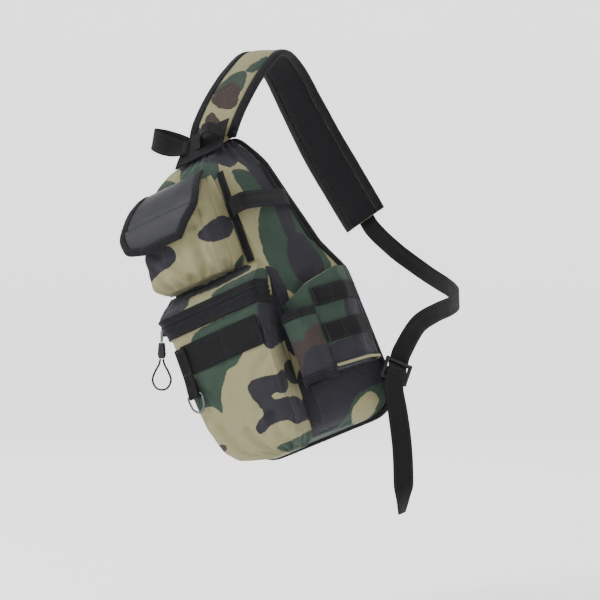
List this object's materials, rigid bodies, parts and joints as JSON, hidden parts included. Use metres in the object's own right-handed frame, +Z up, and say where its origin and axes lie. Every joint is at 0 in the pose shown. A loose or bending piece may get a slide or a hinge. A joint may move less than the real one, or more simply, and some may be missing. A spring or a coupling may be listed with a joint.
{
  "type": "fishing tackle sling bag",
  "caption": "Camouflage sling bag for fishing tackle with front pockets, a flap, a corner pocket, a rod sleeve and one padded shoulder strap.",
  "frame": {"origin": "underside of the shoulder strap where it crosses the top of the wearer's left shoulder", "axes": "+Z up as worn, +Y forward through the wearer from back to chest, +X to the wearer's right; the front of the bag looks along -Y and its long axis leans 22 degrees to the left"},
  "size_m": [0.3894, 0.406, 0.6337],
  "materials": {
    "camouflage": "woven polyester printed with a woodland camouflage",
    "zip_tape": "black zip tape and coil",
    "webbing": "black woven webbing",
    "binding": "black woven binding tape",
    "dark_cloth": "plain dark woven cloth",
    "coated_cloth": "dark grey coated cloth, satin",
    "padded_mesh": "black spacer mesh over foam",
    "plastic": "black moulded acetal",
    "cord": "black braided cord",
    "metal": "dark plated steel"
  },
  "bodies": {
    "root": {"main_compartment": "camouflage", "front_pocket": "camouflage", "upper_pocket": "camouflage", "corner_pocket": "camouflage", "corner_pocket_binding": "camouflage", "rod_sleeve": "camouflage", "shoulder_strap": "camouflage", "main_zip": "zip_tape", "front_pocket_zip": "zip_tape", "front_webbing_band": "webbing", "corner_webbing_1": "webbing", "corner_webbing_2": "webbing", "spine_webbing": "webbing", "rod_strap": "webbing", "rod_loop": "webbing", "grab_handle": "webbing", "corner_loop": "webbing", "ring_strap": "webbing", "adjuster_webbing": "webbing", "lock_wing": "webbing", "edge_piping": "binding", "flap_binding": "binding", "sleeve_binding_bottom": "binding", "sleeve_binding_top": "binding", "strap_binding_left": "binding", "strap_binding_right": "binding", "yoke_panel": "dark_cloth", "pocket_flap": "coated_cloth", "back_panel": "padded_mesh", "ladder_lock": "plastic", "pull_grip": "plastic", "pull_cord": "cord", "zip_slider": "metal", "hanging_ring": "metal"}
  },
  "joints": []
}
